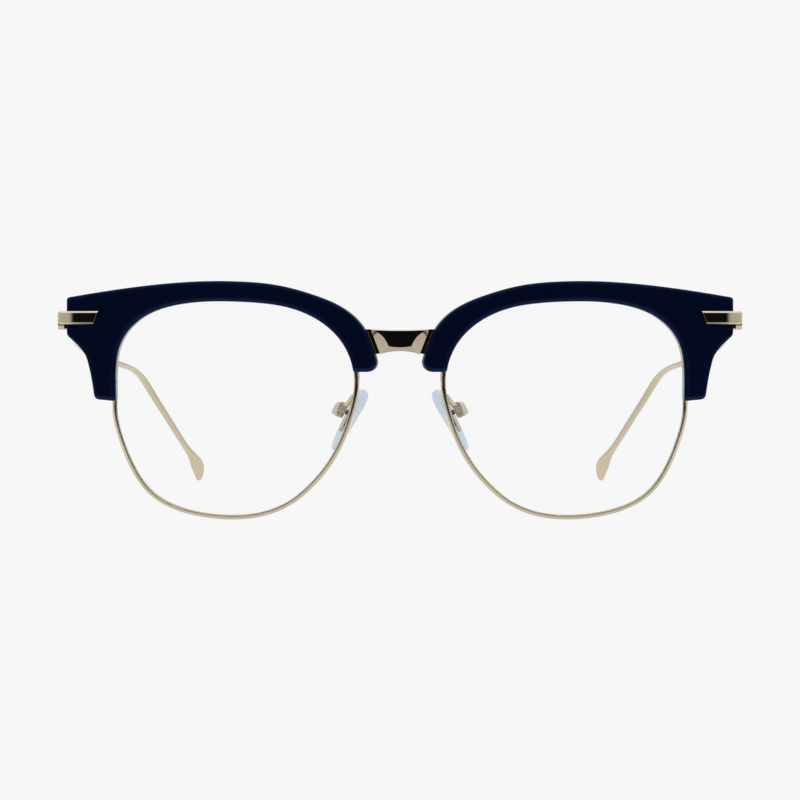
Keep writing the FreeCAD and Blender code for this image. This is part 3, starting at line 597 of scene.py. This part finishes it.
# %% [markdown]
# The studio is a plain pale floor that runs into a pale surround. Polished metal shows what
# it faces, and the photograph's front faces are near black while everything turned away is
# bright. That is a dark card around the camera in a white room. The camera sees one plain
# tone, also through a lens; card, walls and floor shades only light and mirror.

# %% Helpers for the studio
PALE = linear("#f7f7f7")


def seen_plainly(tree):
    """1 for rays from the camera, also through a lens, and 0 for all others."""
    ray = add(tree, "ShaderNodeLightPath").outputs
    return maths(tree, "MAXIMUM", ray["Is Camera Ray"], ray["Is Transmission Ray"])


def either(tree, share, first, second):
    """The first shader where the share is 0, the second where it is 1."""
    ends = {"Fac": share, 1: first.outputs[0], 2: second.outputs[0]}
    return add(tree, "ShaderNodeMixShader", ends)


print("studio helpers ready")

# %% [markdown]
# In reflections the floor darkens towards the card, which shades it, and a little under the
# glasses themselves.

# %% Floor
FLOOR_SIZE = 6.0
FLOOR_GRADE = (FRONT_Y - 320 * MM, FRONT_Y - 40 * MM)
FLOOR_LIGHT = (0.02, 1.0)
SHADE_AWAY = (75 * MM, 150 * MM)
SHADE_LIGHT = (0.78, 0.97)
SHADE_SPOT = (0.0, FRONT_Y, 0.0)

bpy.ops.mesh.primitive_plane_add(size=FLOOR_SIZE, location=(0, 0, 0))
floor = bpy.context.object
floor.name = "floor"
paper, tree = material("pale_paper")
spot = spot_of(tree)
grade = ramp(tree, axes_of(tree, spot)["Y"], FLOOR_GRADE, FLOOR_LIGHT, SOFT)
away = add(tree, "ShaderNodeVectorMath", {0: spot, 1: SHADE_SPOT}, operation="DISTANCE")
shade = ramp(tree, away.outputs["Value"], SHADE_AWAY, SHADE_LIGHT, SOFT)
level = maths(tree, "MULTIPLY", grade, shade)
plain = add(tree, "ShaderNodeEmission", {"Color": PALE, "Strength": 1.0})
sheet = add(tree, "ShaderNodeEmission", {"Color": PALE, "Strength": level})
matt = add(tree, "ShaderNodeBsdfDiffuse", {"Color": linear("#f0f0f0")})
mirrored = add(tree, "ShaderNodeLightPath").outputs["Is Glossy Ray"]
lit = either(tree, mirrored, matt, sheet)
close(tree, either(tree, seen_plainly(tree), lit, plain))
floor.data.materials.append(paper)
print("floor of", FLOOR_SIZE, "m")

# %% [markdown]
# The card reaches as far round the camera's side as the metal's front faces can see, with a
# soft edge, and the walls brighten from the floor up.

# %% Surround
CARD_ROUND = (math.radians(42), math.radians(54))
CARD_UP = (0.5, 0.75)
CARD_LIGHT = (0.008, 1.0)
WALL_UP = (0.0, 0.6)
WALL_LIGHT = (0.62, 1.15)

world = bpy.data.worlds.new("white_room")
bpy.context.scene.world = world
world.use_nodes = True
tree = world.node_tree
tree.nodes.clear()
axes = axes_of(tree, add(tree, "ShaderNodeTexCoord").outputs["Generated"])
across = maths(tree, "ABSOLUTE", axes["X"])
toward = maths(tree, "MULTIPLY", axes["Y"], -1.0)
turn = maths(tree, "ARCTAN2", across, toward)
beside = ramp(tree, turn, CARD_ROUND, CARD_LIGHT, SOFT)
above = ramp(tree, axes["Z"], CARD_UP, CARD_LIGHT, SOFT)
card = maths(tree, "MAXIMUM", beside, above)
walls = ramp(tree, axes["Z"], WALL_UP, WALL_LIGHT, SOFT)
level = maths(tree, "MULTIPLY", card, walls)
room = add(tree, "ShaderNodeBackground", {"Color": linear("#ffffff"), "Strength": level})
back = add(tree, "ShaderNodeBackground", {"Color": PALE, "Strength": 1.0})
sky = either(tree, seen_plainly(tree), room, back)
add(tree, "ShaderNodeOutputWorld", {"Surface": sky.outputs[0]})
bpy.context.scene.view_settings.view_transform = "Standard"
print("made", world.name)

# %% [markdown]
# The photograph is taken straight from the front, a little above the rims, with the
# camera half a metre away: the far temples look four fifths of their size. The picture is
# as wide as the field at the front of the glasses.

# %% Camera
DISTANCE = 500 * MM
FIELD = 166 * MM
SENSOR = 36.0
EYE_UP = 36.3 * MM
AIM_UP = 25.0 * MM
NEAREST = 10 * MM

eye = Vector((0.0, FRONT_Y - DISTANCE, EYE_UP))
target = Vector((0.0, FRONT_Y, AIM_UP))
camera = bpy.data.objects.new("camera", bpy.data.cameras.new("camera"))
bpy.context.scene.collection.objects.link(camera)
camera.location = eye
camera.rotation_euler = (target - eye).to_track_quat("-Z", "Y").to_euler()
camera.data.sensor_width = SENSOR
camera.data.lens = SENSOR * DISTANCE / FIELD
camera.data.clip_start = NEAREST
bpy.context.scene.camera = camera
print("lens", round(camera.data.lens, 1), "mm")
